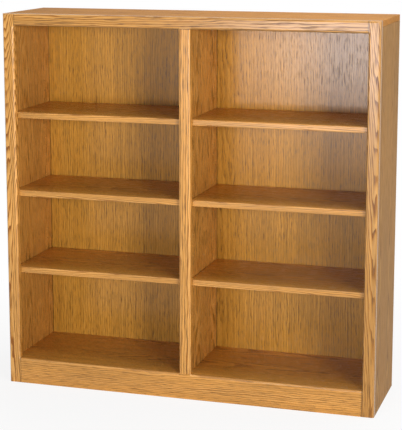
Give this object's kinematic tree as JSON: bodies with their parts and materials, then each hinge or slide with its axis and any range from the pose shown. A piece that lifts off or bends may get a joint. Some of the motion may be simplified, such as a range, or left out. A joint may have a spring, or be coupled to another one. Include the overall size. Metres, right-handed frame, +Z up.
{
  "type": "bookcase",
  "caption": "Free-standing oak double bookcase: face-framed carcass, centre partition, ply back and adjustable shelves resting on pins that plug into rows of drilled holes.",
  "frame": {"origin": "on the floor, under the middle of the bookcase's width and depth", "axes": "+X to the right seen from the front, -Y out of the front, +Z up"},
  "size_m": [1.2192, 0.3302, 1.2192],
  "materials": {
    "solid_oak": "solid oak, stained golden brown, satin varnish",
    "oak_veneer_outer": "oak veneer on board, stained golden brown, satin varnish",
    "oak_veneer_inner": "oak veneer on board, stained brown, satin varnish",
    "oak_back_panel": "thin oak-faced plywood, stained, satin varnish",
    "shelf_pin_metal": "turned, brass plated"
  },
  "bodies": {
    "carcass": {"top_panel": "oak_veneer_outer", "left_side": "oak_veneer_outer", "right_side": "oak_veneer_outer", "centre_partition": "oak_veneer_inner", "bottom_panel": "oak_veneer_inner", "back_panel": "oak_back_panel", "rear_base_rail": "oak_veneer_inner", "centre_base_support": "oak_veneer_inner", "left_stile": "solid_oak", "right_stile": "solid_oak", "centre_stile": "solid_oak", "top_rail": "solid_oak", "bottom_rail": "solid_oak", "left_lower_pin_left_front": "shelf_pin_metal", "left_lower_pin_left_rear": "shelf_pin_metal", "left_lower_pin_right_front": "shelf_pin_metal", "left_lower_pin_right_rear": "shelf_pin_metal", "left_middle_pin_left_front": "shelf_pin_metal", "left_middle_pin_left_rear": "shelf_pin_metal", "left_middle_pin_right_front": "shelf_pin_metal", "left_middle_pin_right_rear": "shelf_pin_metal", "left_upper_pin_left_front": "shelf_pin_metal", "left_upper_pin_left_rear": "shelf_pin_metal", "left_upper_pin_right_front": "shelf_pin_metal", "left_upper_pin_right_rear": "shelf_pin_metal", "right_lower_pin_left_front": "shelf_pin_metal", "right_lower_pin_left_rear": "shelf_pin_metal", "right_lower_pin_right_front": "shelf_pin_metal", "right_lower_pin_right_rear": "shelf_pin_metal", "right_middle_pin_left_front": "shelf_pin_metal", "right_middle_pin_left_rear": "shelf_pin_metal", "right_middle_pin_right_front": "shelf_pin_metal", "right_middle_pin_right_rear": "shelf_pin_metal", "right_upper_pin_left_front": "shelf_pin_metal", "right_upper_pin_left_rear": "shelf_pin_metal", "right_upper_pin_right_front": "shelf_pin_metal", "right_upper_pin_right_rear": "shelf_pin_metal"},
    "left_lower_shelf": {"left_lower_shelf": "oak_veneer_inner", "left_lower_shelf_edging": "solid_oak"},
    "left_middle_shelf": {"left_middle_shelf": "oak_veneer_inner", "left_middle_shelf_edging": "solid_oak"},
    "left_upper_shelf": {"left_upper_shelf": "oak_veneer_inner", "left_upper_shelf_edging": "solid_oak"},
    "right_lower_shelf": {"right_lower_shelf": "oak_veneer_inner", "right_lower_shelf_edging": "solid_oak"},
    "right_middle_shelf": {"right_middle_shelf": "oak_veneer_inner", "right_middle_shelf_edging": "solid_oak"},
    "right_upper_shelf": {"right_upper_shelf": "oak_veneer_inner", "right_upper_shelf_edging": "solid_oak"}
  },
  "joints": [
    {"name": "left_lower_shelf_lift", "type": "slide", "parent": "carcass", "child": "left_lower_shelf", "axis": [0, 0, 1], "range_m": [0, 0.2308]},
    {"name": "left_middle_shelf_lift", "type": "slide", "parent": "carcass", "child": "left_middle_shelf", "axis": [0, 0, 1], "range_m": [0, 0.2308]},
    {"name": "left_upper_shelf_lift", "type": "slide", "parent": "carcass", "child": "left_upper_shelf", "axis": [0, 0, 1], "range_m": [0, 0.2996]},
    {"name": "right_lower_shelf_lift", "type": "slide", "parent": "carcass", "child": "right_lower_shelf", "axis": [0, 0, 1], "range_m": [0, 0.2308]},
    {"name": "right_middle_shelf_lift", "type": "slide", "parent": "carcass", "child": "right_middle_shelf", "axis": [0, 0, 1], "range_m": [0, 0.2308]},
    {"name": "right_upper_shelf_lift", "type": "slide", "parent": "carcass", "child": "right_upper_shelf", "axis": [0, 0, 1], "range_m": [0, 0.2996]}
  ]
}
